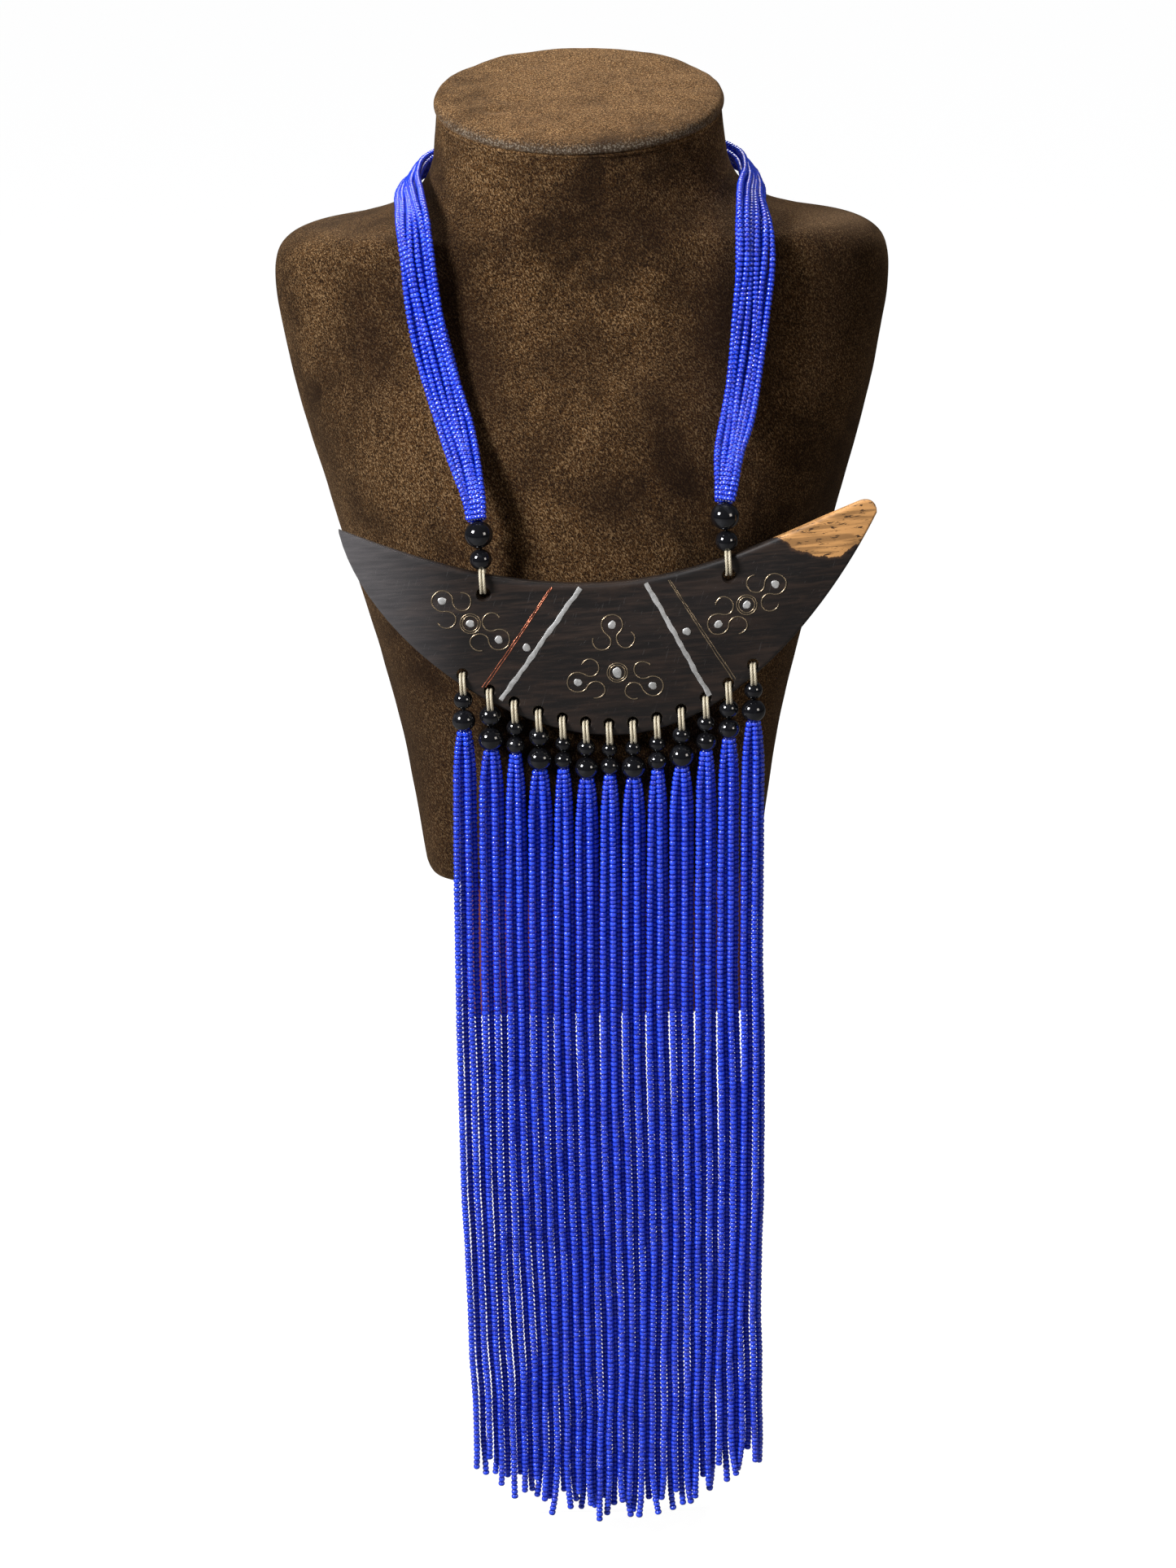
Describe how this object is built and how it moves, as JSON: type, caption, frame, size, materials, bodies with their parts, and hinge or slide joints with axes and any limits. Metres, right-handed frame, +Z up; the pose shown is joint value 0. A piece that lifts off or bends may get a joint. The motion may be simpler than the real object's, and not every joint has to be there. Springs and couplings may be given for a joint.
{
  "type": "beaded necklace with a carved crescent pendant on a display bust",
  "caption": "Blue seed-bead fringe necklace with an inlaid ebony crescent pendant and black beads, draped on a headless velvet display bust.",
  "frame": {"origin": "centre line of the neck in the plane of the bust's flat base face", "axes": "+Z up, the front of the bust and the fringe face -Y, +X to the right of a viewer in front"},
  "size_m": [0.2046, 0.1398, 0.486],
  "materials": {
    "velvet": "dark brown velvet nap",
    "velvet_cap": "worn brown velvet",
    "board": "raw fibre board",
    "ebony": "satin hand-polished ebony with a pale sapwood tip",
    "silver": "hand-filed",
    "copper": "hand-filed",
    "brass_wire": "dull",
    "cord": "waxed thread",
    "black_beads": "high gloss",
    "seed_beads": "transparent cobalt glass seed beads"
  },
  "bodies": {
    "bust": {"bust_form": "velvet", "neck_cap": "velvet_cap", "cap_piping": "velvet", "base_board": "board"},
    "necklace": {"neck_loops": "cord", "neck_beads_small": "black_beads", "neck_beads_large": "black_beads", "neck_strands": "seed_beads"},
    "pendant": {"crescent": "ebony", "silver_strips": "silver", "copper_lines": "copper", "silver_dots": "silver", "wire_scrolls_left": "brass_wire", "wire_scrolls_middle": "brass_wire", "wire_scrolls_right": "brass_wire"},
    "tassel_1": {"loop_1": "cord", "beads_1": "black_beads", "strands_1": "seed_beads"},
    "tassel_2": {"loop_2": "cord", "beads_2": "black_beads", "strands_2": "seed_beads"},
    "tassel_3": {"loop_3": "cord", "beads_3": "black_beads", "strands_3": "seed_beads"},
    "tassel_4": {"loop_4": "cord", "beads_4": "black_beads", "strands_4": "seed_beads"},
    "tassel_5": {"loop_5": "cord", "beads_5": "black_beads", "strands_5": "seed_beads"},
    "tassel_6": {"loop_6": "cord", "beads_6": "black_beads", "strands_6": "seed_beads"},
    "tassel_7": {"loop_7": "cord", "beads_7": "black_beads", "strands_7": "seed_beads"},
    "tassel_8": {"loop_8": "cord", "beads_8": "black_beads", "strands_8": "seed_beads"},
    "tassel_9": {"loop_9": "cord", "beads_9": "black_beads", "strands_9": "seed_beads"},
    "tassel_10": {"loop_10": "cord", "beads_10": "black_beads", "strands_10": "seed_beads"},
    "tassel_11": {"loop_11": "cord", "beads_11": "black_beads", "strands_11": "seed_beads"},
    "tassel_12": {"loop_12": "cord", "beads_12": "black_beads", "strands_12": "seed_beads"},
    "tassel_13": {"loop_13": "cord", "beads_13": "black_beads", "strands_13": "seed_beads"}
  },
  "joints": [
    {"name": "necklace_lift", "type": "slide", "parent": "bust", "child": "necklace", "axis": [0, 0, 1], "range_m": [0, 0.1]},
    {"name": "pendant_swing", "type": "hinge", "parent": "necklace", "child": "pendant", "pos_m": [0.00552, -0.0883, 0.11009], "axis": [-0.9983, 0, -0.0576], "range_deg": [0, 25]},
    {"name": "tassel_1_swing", "type": "hinge", "parent": "pendant", "child": "tassel_1", "pos_m": [-0.04115, -0.0883, 0.07323], "axis": [-1, 0, 0], "range_deg": [-3, 30]},
    {"name": "tassel_2_swing", "type": "hinge", "parent": "pendant", "child": "tassel_2", "pos_m": [-0.03255, -0.0883, 0.06766], "axis": [-1, 0, 0], "range_deg": [-3, 30]},
    {"name": "tassel_3_swing", "type": "hinge", "parent": "pendant", "child": "tassel_3", "pos_m": [-0.02465, -0.0883, 0.06352], "axis": [-1, 0, 0], "range_deg": [-3, 30]},
    {"name": "tassel_4_swing", "type": "hinge", "parent": "pendant", "child": "tassel_4", "pos_m": [-0.01685, -0.0883, 0.06023], "axis": [-1, 0, 0], "range_deg": [-3, 30]},
    {"name": "tassel_5_swing", "type": "hinge", "parent": "pendant", "child": "tassel_5", "pos_m": [-0.00915, -0.0883, 0.05778], "axis": [-1, 0, 0], "range_deg": [-3, 30]},
    {"name": "tassel_6_swing", "type": "hinge", "parent": "pendant", "child": "tassel_6", "pos_m": [-0.00165, -0.0883, 0.05626], "axis": [-1, 0, 0], "range_deg": [-3, 30]},
    {"name": "tassel_7_swing", "type": "hinge", "parent": "pendant", "child": "tassel_7", "pos_m": [0.00595, -0.0883, 0.05553], "axis": [-1, 0, 0], "range_deg": [-3, 30]},
    {"name": "tassel_8_swing", "type": "hinge", "parent": "pendant", "child": "tassel_8", "pos_m": [0.01365, -0.0883, 0.0559], "axis": [-1, 0, 0], "range_deg": [-3, 30]},
    {"name": "tassel_9_swing", "type": "hinge", "parent": "pendant", "child": "tassel_9", "pos_m": [0.02145, -0.0883, 0.05733], "axis": [-1, 0, 0], "range_deg": [-3, 30]},
    {"name": "tassel_10_swing", "type": "hinge", "parent": "pendant", "child": "tassel_10", "pos_m": [0.02935, -0.0883, 0.05993], "axis": [-1, 0, 0], "range_deg": [-3, 30]},
    {"name": "tassel_11_swing", "type": "hinge", "parent": "pendant", "child": "tassel_11", "pos_m": [0.03735, -0.0883, 0.0638], "axis": [-1, 0, 0], "range_deg": [-3, 30]},
    {"name": "tassel_12_swing", "type": "hinge", "parent": "pendant", "child": "tassel_12", "pos_m": [0.04475, -0.0883, 0.06845], "axis": [-1, 0, 0], "range_deg": [-3, 30]},
    {"name": "tassel_13_swing", "type": "hinge", "parent": "pendant", "child": "tassel_13", "pos_m": [0.05275, -0.0883, 0.07468], "axis": [-1, 0, 0], "range_deg": [-3, 30]}
  ]
}
